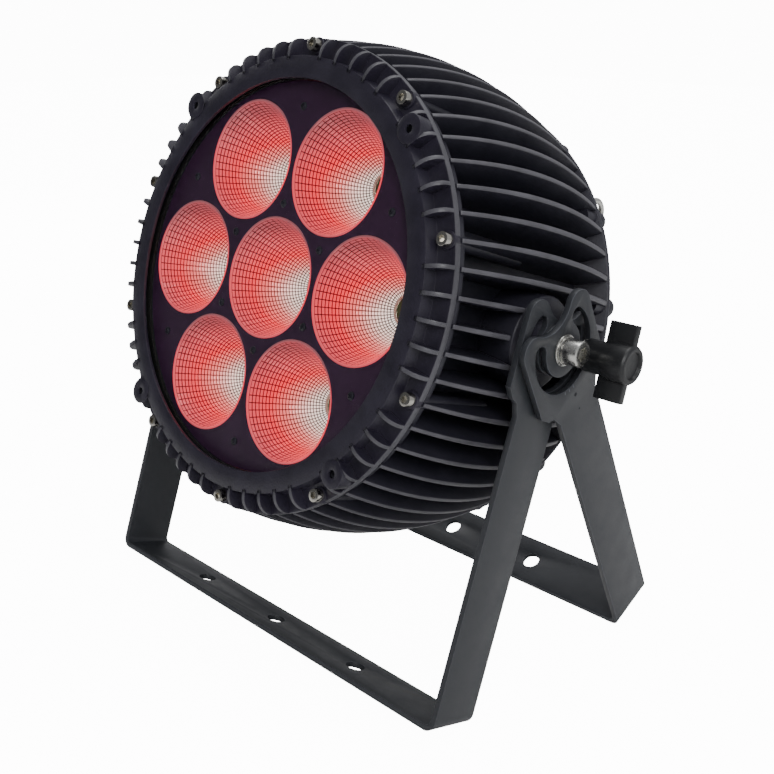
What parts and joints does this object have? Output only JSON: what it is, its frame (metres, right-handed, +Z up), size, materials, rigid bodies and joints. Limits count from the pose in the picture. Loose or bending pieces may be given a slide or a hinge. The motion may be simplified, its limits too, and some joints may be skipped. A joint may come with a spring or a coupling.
{
  "type": "par can light",
  "caption": "Finned round LED par light with hexagonally packed faceted reflectors, a tilting head on a folding twin bracket, wing knobs and rear control panel.",
  "frame": {"origin": "on the floor under the middle of the object's box", "axes": "+Z up; the beam leaves towards -Y and upwards; X is the tilt axis, +X is the right hand seen from behind the lamp's back looking along +Y from the front"},
  "size_m": [0.4388, 0.2675, 0.4176],
  "materials": {
    "bracket_paint": "satin powder coat",
    "housing_paint": "satin black paint on die-cast aluminium",
    "stainless": "turned stainless steel",
    "glass": "clear tempered glass",
    "seal": "black silicone rubber",
    "mask": "satin black sheet",
    "reflector": "bright vacuum metallised facets",
    "led": "phosphor covered light-emitting face",
    "holder": "white moulded plastic",
    "circuit": "green solder mask",
    "supply": "bare folded aluminium",
    "post": "plated brass spacer",
    "knob": "moulded glass-filled nylon",
    "washer": "black nylon",
    "button": "moulded silicone key",
    "window": "dark polycarbonate window",
    "socket": "moulded black plastic"
  },
  "bodies": {
    "outer_bracket": {"outer_bracket": "bracket_paint"},
    "head": {"housing": "housing_paint", "front_bezel": "housing_paint", "rear_cover": "housing_paint", "bezel_screws": "stainless", "rear_screws": "stainless", "mask_screws": "stainless", "accessory_pins": "stainless", "pivot_bolts": "stainless", "flat_washers": "stainless", "spring_washers": "stainless", "knob_washers": "stainless", "hub_spacers": "washer", "safety_eye": "stainless", "front_glass": "glass", "glass_seal": "seal", "bezel_seal": "seal", "rear_seal": "seal", "mask_plate": "mask", "mask_pillars": "post", "led_holders": "holder", "driver_board": "circuit", "panel_board": "circuit", "driver_board_posts": "post", "power_supply": "supply", "power_supply_posts": "post", "display_window": "window", "vent_valve": "socket", "reflector_centre": "reflector", "led_module_centre": "led", "reflector_1": "reflector", "led_module_1": "led", "reflector_2": "reflector", "led_module_2": "led", "reflector_3": "reflector", "led_module_3": "led", "reflector_4": "reflector", "led_module_4": "led", "reflector_5": "reflector", "led_module_5": "led", "reflector_6": "reflector", "led_module_6": "led", "power_inlet": "socket", "power_outlet": "socket", "data_inlet": "socket", "data_outlet": "socket"},
    "inner_bracket": {"inner_bracket": "bracket_paint", "plate_washers": "washer"},
    "stud_right": {"knob_stud_right": "stainless"},
    "knob_right": {"knob_right": "knob"},
    "stud_left": {"knob_stud_left": "stainless"},
    "knob_left": {"knob_left": "knob"},
    "button_menu": {"button_menu": "button"},
    "button_down": {"button_down": "button"},
    "button_up": {"button_up": "button"},
    "button_enter": {"button_enter": "button"}
  },
  "joints": [
    {"name": "head_tilt", "type": "hinge", "parent": "outer_bracket", "child": "head", "pos_m": [0, -0.001, 0.243], "axis": [-1, 0, 0], "range_deg": [-22, 160]},
    {"name": "leg_spread", "type": "hinge", "parent": "outer_bracket", "child": "inner_bracket", "pos_m": [0, -0.001, 0.243], "axis": [-1, 0, 0], "range_deg": [-46.6, 6]},
    {"name": "stud_travel_right", "type": "slide", "parent": "head", "child": "stud_right", "axis": [1, 0, 0], "range_m": [0, 0.0025]},
    {"name": "knob_turn_right", "type": "hinge", "parent": "stud_right", "child": "knob_right", "pos_m": [0.2, 0.02061, 0.23573], "axis": [1, 0, 0], "range_deg": [0, 720]},
    {"name": "stud_travel_left", "type": "slide", "parent": "head", "child": "stud_left", "axis": [-1, 0, 0], "range_m": [0, 0.0025]},
    {"name": "knob_turn_left", "type": "hinge", "parent": "stud_left", "child": "knob_left", "pos_m": [-0.2, 0.02061, 0.23573], "axis": [-1, 0, 0], "range_deg": [0, 720]},
    {"name": "button_menu_press", "type": "slide", "parent": "head", "child": "button_menu", "axis": [0, -0.9478, 0.319], "range_m": [0, 0.0008], "stiffness_N_per_m": 400, "springref_m": -0.0004},
    {"name": "button_down_press", "type": "slide", "parent": "head", "child": "button_down", "axis": [0, -0.9478, 0.319], "range_m": [0, 0.0008], "stiffness_N_per_m": 400, "springref_m": -0.0004},
    {"name": "button_up_press", "type": "slide", "parent": "head", "child": "button_up", "axis": [0, -0.9478, 0.319], "range_m": [0, 0.0008], "stiffness_N_per_m": 400, "springref_m": -0.0004},
    {"name": "button_enter_press", "type": "slide", "parent": "head", "child": "button_enter", "axis": [0, -0.9478, 0.319], "range_m": [0, 0.0008], "stiffness_N_per_m": 400, "springref_m": -0.0004}
  ],
  "couplings": [
    {"joint": "stud_travel_right", "follows": "knob_turn_right", "m_per_rad": 0.00019894},
    {"joint": "stud_travel_left", "follows": "knob_turn_left", "m_per_rad": 0.00019894}
  ]
}
